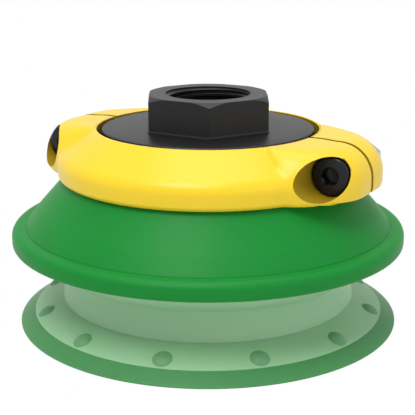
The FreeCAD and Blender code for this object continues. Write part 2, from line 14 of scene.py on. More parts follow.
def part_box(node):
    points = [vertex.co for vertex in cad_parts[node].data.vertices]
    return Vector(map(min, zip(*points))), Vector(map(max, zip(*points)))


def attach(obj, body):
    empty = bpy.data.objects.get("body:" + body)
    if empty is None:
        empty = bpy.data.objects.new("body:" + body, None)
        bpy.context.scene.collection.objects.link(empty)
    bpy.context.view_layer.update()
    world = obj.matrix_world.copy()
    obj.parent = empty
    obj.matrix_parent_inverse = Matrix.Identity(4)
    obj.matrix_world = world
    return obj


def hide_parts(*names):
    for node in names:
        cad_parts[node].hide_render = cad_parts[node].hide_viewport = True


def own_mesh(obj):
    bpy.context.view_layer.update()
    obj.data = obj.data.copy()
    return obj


bl_info = {
    "name": "Bellows vacuum cup",
    "version": (1, 0, 0),
    "blender": (4, 5, 0),
    "location": "View3D > Sidebar > Vacuum cup",
    "description": "Builds a bellows vacuum cup with its clamp, fitting and filter round the packed model",
    "category": "Add Mesh",
}

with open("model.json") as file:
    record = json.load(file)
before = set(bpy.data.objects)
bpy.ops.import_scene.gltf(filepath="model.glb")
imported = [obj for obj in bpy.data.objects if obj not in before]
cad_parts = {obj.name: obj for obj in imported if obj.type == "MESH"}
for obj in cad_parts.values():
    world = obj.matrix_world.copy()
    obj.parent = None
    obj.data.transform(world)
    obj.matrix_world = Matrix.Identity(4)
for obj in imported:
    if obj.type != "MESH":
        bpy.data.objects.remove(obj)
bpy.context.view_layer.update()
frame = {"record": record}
MM = 0.001
RING_STEPS = 256
BODY_OF = {node: body for body, nodes in frame["record"]["behaviour"]["bodies"].items() for node in nodes}


def low_of(node):
    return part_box(node)[0][2]


def high_of(node):
    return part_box(node)[1][2]


def reach_of(node):
    """Outer radius of a node that is round about the cup's axis."""
    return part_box(node)[1][0]


PORT = frame["record"]["mounts"][0]
PORT_RADIUS = PORT["dims"]["r_mm"] * MM
BORE_GAP = 0.3 * MM
WELD = 0.002 * MM
CAVITY_RADIUS, MOUTH_RADIUS = 24.0 * MM, 28.0 * MM
CLAMP_ROOF, MOUTH_DEPTH = 2.3 * MM, 1.1 * MM
CLAMP_LOW, CLAMP_TOP = low_of("clamp_front"), high_of("clamp_front")
PLATE_RADIUS = reach_of("fitting_body")
CHAMBER_TOP = low_of("fitting_body")


# ---------------------------------------------------------------- outlines and meshes

def arc(centre, radius, start, end, steps):
    """Points on an arc, angles in degrees, both ends included."""
    angles = [math.radians(start + (end - start) * step / steps) for step in range(steps + 1)]
    return [(centre[0] + radius * math.cos(angle), centre[1] + radius * math.sin(angle)) for angle in angles]


def rounded(corners, steps=6):
    """A closed outline from (x, y, radius) corners, each corner turned with a tangent arc."""
    points = []
    for index, (x, y, radius) in enumerate(corners):
        here = Vector((x, y))
        before = (Vector(corners[index - 1][:2]) - here).normalized()
        after = (Vector(corners[(index + 1) % len(corners)][:2]) - here).normalized()
        half = before.angle(after) / 2
        if radius <= 0 or half > math.radians(89.5):
            points.append((x, y))
            continue
        tangent = radius / math.tan(half)
        centre = here + (before + after).normalized() * radius / math.sin(half)
        start, end = here + before * tangent - centre, here + after * tangent - centre
        sweep = start.angle_signed(end) * -1
        for step in range(steps + 1):
            spoke = Matrix.Rotation(sweep * step / steps, 2) @ start
            points.append(tuple(centre + spoke))
    return points


def refined(points, longest):
    """The closed outline with long sides split, so that later bends and booleans have vertices to use."""
    result = []
    for (x0, y0), (x1, y1) in zip(points, points[1:] + points[:1]):
        parts = max(1, math.ceil(math.hypot(x1 - x0, y1 - y0) / longest))
        result += [(x0 + (x1 - x0) * part / parts, y0 + (y1 - y0) * part / parts) for part in range(parts)]
    return result


def spun(points, steps=RING_STEPS):
    """Bmesh of a closed outline of (radius, height) points, turned once round the Z axis."""
    mesh = bmesh.new()
    verts = [mesh.verts.new((radius, 0, height)) for radius, height in points]
    edges = [mesh.edges.new(pair) for pair in zip(verts, verts[1:] + verts[:1])]
    bmesh.ops.spin(mesh, geom=verts + edges, cent=(0, 0, 0), axis=(0, 0, 1), angle=math.tau, steps=steps,
                   use_merge=True)
    tidy(mesh)
    return mesh


def tidy(mesh):
    """Merge doubles, drop what has no area and point the faces outwards."""
    bmesh.ops.remove_doubles(mesh, verts=mesh.verts, dist=2e-6)
    bmesh.ops.dissolve_degenerate(mesh, edges=mesh.edges, dist=1e-6)
    bmesh.ops.recalc_face_normals(mesh, faces=mesh.faces)


def lathe(points, length_axis, steps=64):
    """A solid of (radius, distance) points that starts and ends on its axis, turned and laid along an axis."""
    mesh = bmesh.new()
    verts = [mesh.verts.new((radius, 0, distance)) for radius, distance in points]
    edges = [mesh.edges.new(pair) for pair in zip(verts, verts[1:])]
    bmesh.ops.spin(mesh, geom=verts + edges, cent=(0, 0, 0), axis=(0, 0, 1), angle=math.tau, steps=steps,
                   use_merge=True)
    tidy(mesh)
    bmesh.ops.transform(mesh, matrix=length_axis, verts=mesh.verts)
    return mesh


def hexagon_radius(angle, flats, clip):
    """Distance from the axis to a hexagon with a corner at angle zero, its corners a little blunt."""
    turned = (angle % (math.pi / 3)) - math.pi / 6
    return min(flats / 2 / math.cos(turned), clip)


def reach_along(outline, centre, ray):
    """Farthest distance from a centre to a closed outline along a ray."""
    best = 0.0
    for start, end in zip(outline, outline[1:] + outline[:1]):
        first = Vector(start) - centre
        side = Vector(end) - Vector(start)
        turn = ray.cross(side)
        if abs(turn) > 1e-12 and -1e-6 <= first.cross(ray) / turn <= 1 + 1e-6:
            best = max(best, first.cross(side) / turn)
    return best


def polar(vert):
    return math.hypot(vert.co.x, vert.co.y), math.atan2(vert.co.y, vert.co.x)


def place_polar(vert, radius, angle, height):
    vert.co = (radius * math.cos(angle), radius * math.sin(angle), height)


def mesh_object(mesh, name):
    """A new object in the scene that holds the bmesh."""
    data = bpy.data.meshes.new(name)
    mesh.to_mesh(data)
    mesh.free()
    piece = bpy.data.objects.new(name, data)
    bpy.context.scene.collection.objects.link(piece)
    return piece


def add_mesh(mesh, other):
    """Add all of one bmesh to another."""
    data = bpy.data.meshes.new("joined")
    other.to_mesh(data)
    other.free()
    mesh.from_mesh(data)
    bpy.data.meshes.remove(data)


def put_in_order(mesh):
    """Sort a bmesh by place, because its operators leave an order that differs from run to run."""
    for items, place in ((mesh.verts, lambda vert: vert.co), (mesh.faces, lambda face: face.calc_center_median())):
        for rank, item in enumerate(sorted(items, key=lambda item: [round(value, 7) for value in place(item)])):
            item.index = rank
        items.sort()


def weld(mesh):
    """Merge what lies within a couple of microns and face all faces outwards."""
    bmesh.ops.remove_doubles(mesh, verts=mesh.verts, dist=WELD)
    bmesh.ops.dissolve_degenerate(mesh, edges=mesh.edges, dist=WELD)
    bmesh.ops.recalc_face_normals(mesh, faces=mesh.faces)


def cut(piece, tool, operation="DIFFERENCE"):
    """Apply a boolean of a closed bmesh to a closed piece.

    The manifold solver is used, because the exact one loses faces in some orders of the vertices. A result that is
    open, unchanged or has lost most of the piece stops the script.
    """
    before = volume_of(piece.data)
    cutter = mesh_object(tool, "cutter")
    boolean = piece.modifiers.new("cut", "BOOLEAN")
    boolean.operation = operation
    boolean.solver = "MANIFOLD"
    boolean.object = cutter
    bpy.context.view_layer.update()
    result = bpy.data.meshes.new_from_object(piece.evaluated_get(bpy.context.evaluated_depsgraph_get()))
    after = volume_of(result)
    if not before or after < before / 2 or abs(after - before) < before * 1e-6:
        raise RuntimeError("no sound cut of " + piece.name)
    piece.modifiers.clear()
    piece.data = result
    bpy.data.objects.remove(cutter)


def volume_of(data):
    """Volume inside a mesh, or 0 where it isn't closed."""
    mesh = bmesh.new()
    mesh.from_mesh(data)
    closed = all(len(edge.link_faces) == 2 for edge in mesh.edges)
    volume = mesh.calc_volume(signed=False) if closed else 0
    mesh.free()
    return volume


def soften_edges(piece, width, angle=35):
    """Round what edges are still sharp with a narrow bevel."""
    bevel = piece.modifiers.new("edges", "BEVEL")
    bevel.width = width
    bevel.segments = 2
    bevel.limit_method = "ANGLE"
    bevel.angle_limit = math.radians(angle)
    bevel.use_clamp_overlap = True
    bevel.harden_normals = False


def shade(piece, angle=32):
    """Smooth shading with edges sharper than the angle kept crisp."""
    mesh = bmesh.new()
    mesh.from_mesh(piece.data)
    for face in mesh.faces:
        face.smooth = True
    for edge in mesh.edges:
        edge.smooth = len(edge.link_faces) != 2 or edge.calc_face_angle() < math.radians(angle)
    mesh.to_mesh(piece.data)
    mesh.free()


def finish(piece, node, material, angle=32):
    """Shade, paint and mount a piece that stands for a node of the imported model."""
    shade(piece, angle)
    piece.data.materials.clear()
    piece.data.materials.append(material)
    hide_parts(node)
    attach(piece, BODY_OF[node])


def paint(piece, material, chosen):
    """Give a second material to the faces whose centre is chosen."""
    piece.data.materials.append(material)
    slot = len(piece.data.materials) - 1
    for face in piece.data.polygons:
        if chosen(face.center):
            face.material_index = slot


# ---------------------------------------------------------------- shader node groups

def new_group(name, inputs, outputs):
    """A shader node group with its sockets; inputs are (name, kind, default)."""
    group = bpy.data.node_groups.new(name, "ShaderNodeTree")
    for label, kind, default in inputs:
        socket = group.interface.new_socket(label, in_out="INPUT", socket_type=kind)
        socket.default_value = default
    for label, kind in outputs:
        group.interface.new_socket(label, in_out="OUTPUT", socket_type=kind)
    return group, group.nodes.new("NodeGroupInput"), group.nodes.new("NodeGroupOutput")


def add_math(group, operation, first, second):
    node = group.nodes.new("ShaderNodeMath")
    node.operation = operation
    for socket, value in zip(node.inputs, (first, second)):
        if isinstance(value, (int, float)):
            socket.default_value = value
        else:
            group.links.new(value, socket)
    return node.outputs[0]


def add_noise(group, coordinates, scale, detail=2.0, roughness=0.5):
    node = group.nodes.new("ShaderNodeTexNoise")
    node.inputs["Detail"].default_value = detail
    node.inputs["Roughness"].default_value = roughness
    group.links.new(coordinates, node.inputs["Vector"])
    if isinstance(scale, (int, float)):
        node.inputs["Scale"].default_value = scale
    else:
        group.links.new(scale, node.inputs["Scale"])
    return node.outputs["Fac"]


def shift_colour(group, colour, amount):
    """Make a colour lighter or darker by a factor near one."""
    node = group.nodes.new("ShaderNodeVectorMath")
    node.operation = "SCALE"
    group.links.new(colour, node.inputs[0])
    group.links.new(amount, node.inputs["Scale"])
    return node.outputs[0]


def moulded_surface():
    """Fine mould grain with faint cloudiness, for rubber and plastic."""
    group, source, out = new_group(
        "Moulded surface",
        [("Color", "NodeSocketColor", (0.5, 0.5, 0.5, 1)), ("Cloudiness", "NodeSocketFloat", 0.05),
         ("Grain size", "NodeSocketFloat", 2500.0), ("Roughness", "NodeSocketFloat", 0.4),
         ("Roughness spread", "NodeSocketFloat", 0.1)],
        [("Color", "NodeSocketColor"), ("Roughness", "NodeSocketFloat"), ("Height", "NodeSocketFloat")])
    where = group.nodes.new("ShaderNodeTexCoord").outputs["Object"]
    clouds = add_noise(group, where, 90.0, 3.0)
    grain = add_noise(group, where, source.outputs["Grain size"], 3.0, 0.6)
    swing = add_math(group, "MULTIPLY", add_math(group, "SUBTRACT", clouds, 0.5), source.outputs["Cloudiness"])
    shade_factor = add_math(group, "ADD", swing, 1.0)
    group.links.new(shift_colour(group, source.outputs["Color"], shade_factor), out.inputs["Color"])
    spread = add_math(group, "MULTIPLY", add_math(group, "SUBTRACT", grain, 0.5), source.outputs["Roughness spread"])
    group.links.new(add_math(group, "ADD", spread, source.outputs["Roughness"]), out.inputs["Roughness"])
    group.links.new(grain, out.inputs["Height"])
    return group


def turned_surface():
    """Faint rings left by turning, finest along the radius, for machined metal."""
    group, source, out = new_group(
        "Turned surface",
        [("Color", "NodeSocketColor", (0.5, 0.5, 0.5, 1)), ("Ring size", "NodeSocketFloat", 6000.0),
         ("Roughness", "NodeSocketFloat", 0.35), ("Roughness spread", "NodeSocketFloat", 0.15)],
        [("Color", "NodeSocketColor"), ("Roughness", "NodeSocketFloat"), ("Height", "NodeSocketFloat")])
    where = group.nodes.new("ShaderNodeTexCoord").outputs["Object"]
    split = group.nodes.new("ShaderNodeSeparateXYZ")
    group.links.new(where, split.inputs[0])
    square = add_math(group, "ADD", add_math(group, "MULTIPLY", split.outputs[0], split.outputs[0]),
                      add_math(group, "MULTIPLY", split.outputs[1], split.outputs[1]))
    join = group.nodes.new("ShaderNodeCombineXYZ")
    group.links.new(add_math(group, "SQRT", square, 0.0), join.inputs[0])
    group.links.new(split.outputs[2], join.inputs[1])
    rings = add_noise(group, join.outputs[0], source.outputs["Ring size"], 2.0, 0.7)
    clouds = add_noise(group, where, 160.0, 3.0)
    factor = add_math(group, "ADD", add_math(group, "MULTIPLY", clouds, 0.16), 0.92)
    group.links.new(shift_colour(group, source.outputs["Color"], factor), out.inputs["Color"])
    spread = add_math(group, "MULTIPLY", add_math(group, "SUBTRACT", rings, 0.5), source.outputs["Roughness spread"])
    group.links.new(add_math(group, "ADD", spread, source.outputs["Roughness"]), out.inputs["Roughness"])
    group.links.new(rings, out.inputs["Height"])
    return group


def build_material(name, group, values, bump, **shader_values):
    """A principled material fed by one of the surface groups."""
    material = bpy.data.materials.new(name)
    material.use_nodes = True
    tree = material.node_tree
    shader = tree.nodes["Principled BSDF"]
    surface = tree.nodes.new("ShaderNodeGroup")
    surface.node_tree = group
    for label, value in values.items():
        surface.inputs[label].default_value = value
    tree.links.new(surface.outputs["Color"], shader.inputs["Base Color"])
    tree.links.new(surface.outputs["Roughness"], shader.inputs["Roughness"])
    relief = tree.nodes.new("ShaderNodeBump")
    relief.inputs["Strength"].default_value = bump
    relief.inputs["Distance"].default_value = 0.02 * MM
    tree.links.new(surface.outputs["Height"], relief.inputs["Height"])
    tree.links.new(relief.outputs["Normal"], shader.inputs["Normal"])
    for label, value in shader_values.items():
        shader.inputs[label.replace("_", " ")].default_value = value
    return material


MATERIALS = {}


def make_materials(colours):
    moulded, turned = moulded_surface(), turned_surface()

    def colour(value):
        return (*value, 1.0)

    MATERIALS["firm"] = build_material(
        "Firm rubber", moulded, {"Color": colour(colours.firm_rubber), "Cloudiness": 0.10, "Roughness": 0.46,
                                 "Roughness spread": 0.12}, 0.25,
        Specular_IOR_Level=0.16, Subsurface_Weight=0.12, Subsurface_Radius=(0.3, 1.0, 0.4), Subsurface_Scale=0.0012)
    MATERIALS["soft"] = build_material(
        "Soft rubber", moulded, {"Color": colour(colours.soft_rubber), "Cloudiness": 0.08, "Roughness": 0.46,
                                 "Roughness spread": 0.12}, 0.25,
        Specular_IOR_Level=0.35, Subsurface_Weight=0.35, Subsurface_Radius=(0.6, 1.0, 0.6), Subsurface_Scale=0.002)
    # Darker copies of the soft rubber: painted shade on the lip's bevel and on its bumps.
    for key, name, tint_value in (("lip_edge", "Soft rubber bevel painted shade", colours.lip_edge),
                                  ("painted_bump_shade", "Soft rubber bump painted shade", colours.painted_bump_shade)):
        MATERIALS[key] = build_material(
            name, moulded, {"Color": colour(tint_value), "Cloudiness": 0.08, "Roughness": 0.42,
                            "Roughness spread": 0.12}, 0.25,
            Specular_IOR_Level=0.2, Subsurface_Weight=0.35, Subsurface_Radius=(0.4, 1.0, 0.5), Subsurface_Scale=0.002)
    # The second yellow is a darker copy, which is painted shade for the faces inside the clamp.
    for key, name, tint_value in (("yellow", "Yellow plastic", colours.clamp_plastic),
                                  ("yellow_painted_shade", "Yellow plastic painted shade", colours.clamp_painted_shade)):
        MATERIALS[key] = build_material(
            name, moulded, {"Color": colour(tint_value), "Cloudiness": 0.05, "Roughness": 0.32,
                            "Roughness spread": 0.08}, 0.12,
            Specular_IOR_Level=0.3, Subsurface_Weight=0.05, Subsurface_Radius=(1.0, 0.8, 0.2),
            Subsurface_Scale=0.001)
    MATERIALS["black"] = build_material(
        "Black fitting", turned, {"Color": colour(colours.fitting), "Roughness": 0.38}, 0.2,
        Specular_IOR_Level=0.32)
    MATERIALS["screw"] = build_material(
        "Black oxide", turned, {"Color": colour(colours.screw), "Roughness": 0.34}, 0.2, Specular_IOR_Level=0.32)
    MATERIALS["steel"] = build_material(
        "Plain steel", turned, {"Color": (0.55, 0.55, 0.54, 1), "Roughness": 0.32}, 0.25, Metallic=1.0)


# ---------------------------------------------------------------- settings

def length(name, description, default):
    return bpy.props.FloatProperty(name=name, description=description, default=default * MM, unit="LENGTH",
                                   precision=5, min=0.0)


def tint(name, description, default):
    return bpy.props.FloatVectorProperty(name=name, description=description, default=default, subtype="COLOR",
                                         size=3, min=0.0, max=1.0)


class CupSizes(bpy.types.PropertyGroup):
    """Sizes of the rubber cup."""
    lip_land: length("Lip land", "Width of the flat land that seals", 1.4)
    lip_edge: length("Lip edge", "Height of the lip's outer edge", 0.25)
    crest_radius: length("Crest radius", "Ridge between the lip's bevel and its slope", 34.5)
    crest_height: length("Crest height", "Height of that ridge", 2.2)
    lip_wall: length("Lip wall", "Thickness of the lip", 1.6)
    root_radius: length("Root radius", "Where the lip turns up into the lower fold", 29.0)
    waist_radius: length("Waist radius", "Narrowest outer radius of the lower fold", 28.2)
    waist_height: length("Waist height", "Height of the waist", 10.35)
    fold_wall: length("Fold wall", "Thickness of the lower fold", 1.8)
    bump_circle: length("Bump circle", "Radius of the circle of bumps", 32.75)
    bump_radius: length("Bump radius", "Size of a bump on the slope", 1.8)
    bump_rise: length("Bump rise", "Height of a bump above the slope", 0.7)
    bond_radius: length("Bond radius", "Where the soft fold meets the firm rim", 37.6)
    groove_radius: length("Groove radius", "Deepest radius inside the rim", 35.4)
    groove_height: length("Groove height", "Height of that groove", 17.0)
    crease_radius: length("Crease radius", "Where the cone meets the rim", 35.8)
    flare_radius: length("Flare radius", "Where the cone starts to flare", 33.6)
    flare_height: length("Flare height", "Height of the flare", 22.2)
    cone_wall: length("Cone wall", "Thickness of the cone", 2.4)
    bump_count: bpy.props.IntProperty(name="Bumps", description="Number of stand-off bumps", default=12, min=3)
    bump_turn: bpy.props.FloatProperty(name="Bump turn", description="Turn of the first bump from +X",
                                       default=math.radians(16), unit="ROTATION")


class ClampSizes(bpy.types.PropertyGroup):
    """Sizes of the clamp and its screws."""
    hole_radius: length("Hole radius", "Hole in the clamp's top", 21.57)
    band_radius: length("Band radius", "Outside of the clamp's band", 29.2)
    slope_drop: length("Slope drop", "Height of the conical slope", 5.0)
    top_flat: length("Top flat", "Flat width round the hole", 0.5)
    ear_reach: length("Ear reach", "End of the ears from the axis", 34.1)
    ear_corner: length("Ear corner", "Rounding of an ear seen from above", 11.2)
    ear_front: length("Ear front", "Flat end of an ear in front of the split", 3.4)
    ear_rear: length("Ear rear", "Flat end of an ear behind the split", 3.4)
    ear_round: length("Ear round", "Rounding of an ear's upper edge", 6.2)
    ear_blend: length("Ear blend", "How softly an ear runs into the band", 3.6)
    shoulder_round: length("Shoulder round", "Rounding between slope and band", 3.0)
    low_round: length("Low round", "Rounding of the clamp's lower edge", 0.9)
    split_gap: length("Split gap", "Gap between the two halves", 1.0)
    screw_reach: length("Screw reach", "Screw axis from the cup's axis", 29.1)
    screw_rise: length("Screw rise", "Screw axis above the clamp's underside", 4.4)
    screw_seat: length("Screw seat", "Seat of the head from the split", 3.9)
    screw_length: length("Screw length", "Length of a screw under its head", 12.0)
    nut_seat: length("Nut seat", "Seat of the nut from the split", 4.9)
    nut_flats: length("Nut", "Width across flats of the nuts", 7.0)
    head_radius: length("Head radius", "Cap head of the screws", 3.5)
    head_height: length("Head height", "Cap head of the screws", 4.0)
    split_turn: bpy.props.FloatProperty(name="Split turn", description="Turn of the split from +X",
                                        default=math.radians(-29.5), unit="ROTATION")


class FittingSizes(bpy.types.PropertyGroup):
    """Sizes of the fitting and its port."""
    hex_flats: length("Hexagon", "Width across flats", 22.6)
    hex_face: length("Hexagon face", "Radius of the flat top inside the chamfer", 11.6)
    plate_height: length("Plate height", "Thickness of the plate", 2.6)
    hub_radius: length("Hub radius", "Groove under the plate", 17.0)
    groove_height: length("Groove height", "Height of the groove under the plate", 2.7)
    hex_cove: length("Hexagon cove", "Cove round the hexagon's foot", 0.45)
    hex_fall: bpy.props.FloatProperty(name="Chamfer fall", description="Fall of the hexagon's chamfer per length",
                                      default=0.58, min=0.1, max=2.0)
    hex_turn: bpy.props.FloatProperty(name="Hexagon turn", description="Turn of the hexagon's corner from the front",
                                      default=math.radians(1), unit="ROTATION")
    filter_seat: length("Filter seat", "Radius of the recess for the filter", 14.0)
    thread_pitch: length("Thread pitch", "Pitch of the port's thread", 1.337)
    thread_depth: length("Thread depth", "Depth of the port's thread", 0.75)
    port_length: length("Port length", "Length of the threaded port", 10.4)
    cloth_pitch: length("Cloth pitch", "Pitch of the filter's wires", 0.9)


class CupColours(bpy.types.PropertyGroup):
    """Colours of the finishes, with darker copies that are painted shade on the lip's bevel, its bumps and the faces
    inside the clamp.
    """
    firm_rubber: tint("Firm rubber", "Upper part of the cup", (0.005, 0.215, 0.028))
    soft_rubber: tint("Soft rubber", "Fold and lip", (0.31, 0.54, 0.32))
    lip_edge: tint("Lip edge", "Painted shade on the lip's bevel", (0.07, 0.26, 0.09))
    painted_bump_shade: tint("Painted bump shade", "Painted shade on the lip's stand-off bumps", (0.15, 0.34, 0.17))
    clamp_plastic: tint("Clamp plastic", "Both halves of the clamp", (0.84, 0.585, 0.022))
    clamp_painted_shade: tint("Clamp painted shade", "Painted shade on faces inside the clamp", (0.36, 0.24, 0.012))
    fitting: tint("Fitting", "Fitting with plate and hexagon", (0.006, 0.006, 0.0065))
    screw: tint("Screws", "Cap screws", (0.005, 0.005, 0.0055))


# ---------------------------------------------------------------- pieces

class VACUUMCUP_OT_lip(bpy.types.Operator):
    """Add the soft sealing lip with its ring of stand-off bumps"""
    bl_idname = "vacuumcup.lip"
    bl_label = "Sealing lip"

    def execute(self, context):
        sizes = context.scene.cup_sizes
        root_height, edge = high_of("sealing_lip"), reach_of("rim_bead") - 1.0 * MM
        crest, root = Vector((sizes.crest_radius, sizes.crest_height)), Vector((sizes.root_radius, root_height))
        slope = (root - crest).normalized()
        inward = Vector((slope.y, -slope.x)) * -1
        under_root, under_crest = root + inward * sizes.lip_wall, crest + inward * sizes.lip_wall
        corners = [(edge - sizes.lip_land, 0, 0), (edge, 0, 0.1 * MM), (edge, sizes.lip_edge, 0.1 * MM),
                   (*crest, 3.0 * MM), (*root, 0), (*under_root, 0), (*under_crest, 1.0 * MM)]
        piece = mesh_object(spun(refined(rounded(corners), 1.2 * MM)), "lip_body")
        cut(piece, self.bumps(sizes, crest, slope), "UNION")
        finish(piece, "sealing_lip", MATERIALS["soft"], angle=25)
        # The lip's bevel gets a darker copy of the soft rubber, which is painted shade.
        painted_shade_start = sizes.crest_radius + 0.5 * MM
        paint(piece, MATERIALS["lip_edge"], lambda centre: math.hypot(centre.x, centre.y) > painted_shade_start)
        # The bumps get a darker copy of the soft rubber, which is painted shade.
        paint(piece, MATERIALS["painted_bump_shade"], lambda centre: self.is_bump(sizes, centre, crest, slope))
        return {"FINISHED"}

    def is_bump(self, sizes, centre, crest, slope):
        """True on the faces of a bump, which stand above the slope and get painted shade."""
        pitch = math.tau / sizes.bump_count
        turn = (math.atan2(centre.y, centre.x) - sizes.bump_turn + pitch / 2) % pitch - pitch / 2
        radius = math.hypot(centre.x, centre.y)
        above = centre.z - crest.y + (crest.x - radius) * slope.y / slope.x
        return above > 0.03 * MM and math.hypot(radius - sizes.bump_circle, radius * turn) < sizes.bump_radius

    def bumps(self, sizes, crest, slope):
        """All bumps as one bmesh: lenses set square to the slope."""
        ball = (sizes.bump_radius ** 2 + sizes.bump_rise ** 2) / (2 * sizes.bump_rise)
        reach = math.degrees(math.asin(sizes.bump_radius / ball))
        cap = arc((0, sizes.bump_rise - ball), ball, 90 - reach, 90, 8)
        sink = -0.5 * MM
        outline = [(0, sink), (sizes.bump_radius, sink)] + [(max(x, 0), y) for x, y in cap]
        outline[-1] = (0, sizes.bump_rise)
        tilt = math.atan2(slope.y, -slope.x)
        height = crest.y + (crest.x - sizes.bump_circle) * math.tan(tilt)
        merged = bmesh.new()
        for index in range(sizes.bump_count):
            turn = sizes.bump_turn + index * math.tau / sizes.bump_count
            place = (Matrix.Rotation(turn, 4, "Z") @ Matrix.Translation((sizes.bump_circle, 0, height))
                     @ Matrix.Rotation(tilt, 4, "Y"))
            add_mesh(merged, lathe(outline, place, 40))
        return merged


class VACUUMCUP_OT_fold(bpy.types.Operator):
    """Add the soft lower fold between the lip and the rim"""
    bl_idname = "vacuumcup.fold"
    bl_label = "Lower fold"

    def execute(self, context):
        sizes = context.scene.cup_sizes
        low, bond = high_of("sealing_lip"), low_of("rim_bead")
        wall, under = sizes.fold_wall, low_of("lower_fold")
        corners = [(sizes.root_radius, low, 0), (sizes.waist_radius, sizes.waist_height, 1.2 * MM),
                   (sizes.bond_radius, bond, 0), (sizes.groove_radius, sizes.groove_height, 0.3 * MM),
                   (sizes.waist_radius - wall, sizes.waist_height + 0.6 * wall, 1.5 * MM),
                   (sizes.root_radius - wall, under + wall, 1.5 * MM),
                   (sizes.root_radius - 0.45 * sizes.lip_wall, under, 0)]
        piece = mesh_object(spun(refined(rounded(corners), 0.7 * MM)), "fold_wall")
        finish(piece, "lower_fold", MATERIALS["soft"])
        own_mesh(piece)
        return {"FINISHED"}


class VACUUMCUP_OT_rim(bpy.types.Operator):
    """Add the firm bead at the widest place of the bellows"""
    bl_idname = "vacuumcup.rim"
    bl_label = "Rim bead"

    def execute(self, context):
        sizes = context.scene.cup_sizes
        low, high, reach = low_of("rim_bead"), high_of("rim_bead"), reach_of("rim_bead")
        corners = [(sizes.crease_radius, high, 0.5 * MM), (reach, high - 0.25 * MM, 1.5 * MM), (reach, low, 0.8 * MM),
                   (sizes.bond_radius, low, 0), (sizes.groove_radius, sizes.groove_height, 0),
                   (sizes.crease_radius - 0.8 * sizes.cone_wall, high - 0.6 * sizes.cone_wall, 0)]
        piece = mesh_object(spun(refined(rounded(corners, 8), 0.6 * MM)), "rim_body")
        finish(piece, "rim_bead", MATERIALS["firm"])
        return {"FINISHED"}


class VACUUMCUP_OT_cone(bpy.types.Operator):
    """Add the firm conical wall under the clamp"""
    bl_idname = "vacuumcup.cone"
    bl_label = "Cone wall"

    def execute(self, context):
        sizes = context.scene.cup_sizes
        crease, top = high_of("rim_bead"), high_of("cone_wall")
        top_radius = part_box("cup_neck")[1][0]
        wall = sizes.cone_wall
        corners = [(top_radius, top, 0), (sizes.flare_radius, sizes.flare_height, 9 * MM),
                   (sizes.crease_radius, crease, 0),
                   (sizes.crease_radius - 0.8 * wall, crease - 0.6 * wall, 0),
                   (sizes.flare_radius - 0.75 * wall, sizes.flare_height - 0.67 * wall, 9 * MM),
                   (top_radius - 0.75 * wall, top - 0.67 * wall, 0)]
        piece = mesh_object(spun(refined(rounded(corners, 10), 0.8 * MM)), "cone_body")
        finish(piece, "cone_wall", MATERIALS["firm"])
        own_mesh(piece)
        return {"FINISHED"}


class VACUUMCUP_OT_neck(bpy.types.Operator):
    """Add the thick neck that the clamp grips"""
    bl_idname = "vacuumcup.neck"
    bl_label = "Cup neck"

    def execute(self, context):
        sizes = context.scene.cup_sizes
        fitting = context.scene.fitting_sizes
        cone_top, top, reach = high_of("cone_wall"), high_of("cup_neck"), 23.9 * MM
        foot = CLAMP_LOW + 1.0 * MM
        plate_low = CLAMP_TOP - fitting.plate_height
        flange_top = plate_low - fitting.groove_height
        gap = 0.12 * MM
        wide, narrow = PLATE_RADIUS + gap, fitting.hub_radius + gap
        wall = sizes.cone_wall
        corners = [(reach_of("cup_neck"), cone_top, 0), (reach, foot, 0.5 * MM), (reach, top, 0.4 * MM),
                   (wide, top, 0.3 * MM), (wide, plate_low - gap, 0.2 * MM), (narrow, plate_low - gap, 0.3 * MM),
                   (narrow, flange_top + gap, 0.3 * MM), (wide, flange_top + gap, 0.2 * MM),
                   (wide, CHAMBER_TOP, 0.4 * MM),
                   (reach_of("cup_neck") - 0.75 * wall, cone_top - 0.67 * wall, 0)]
        piece = mesh_object(spun(rounded(corners, 4), 192), "neck_body")
        finish(piece, "cup_neck", MATERIALS["firm"])
        return {"FINISHED"}


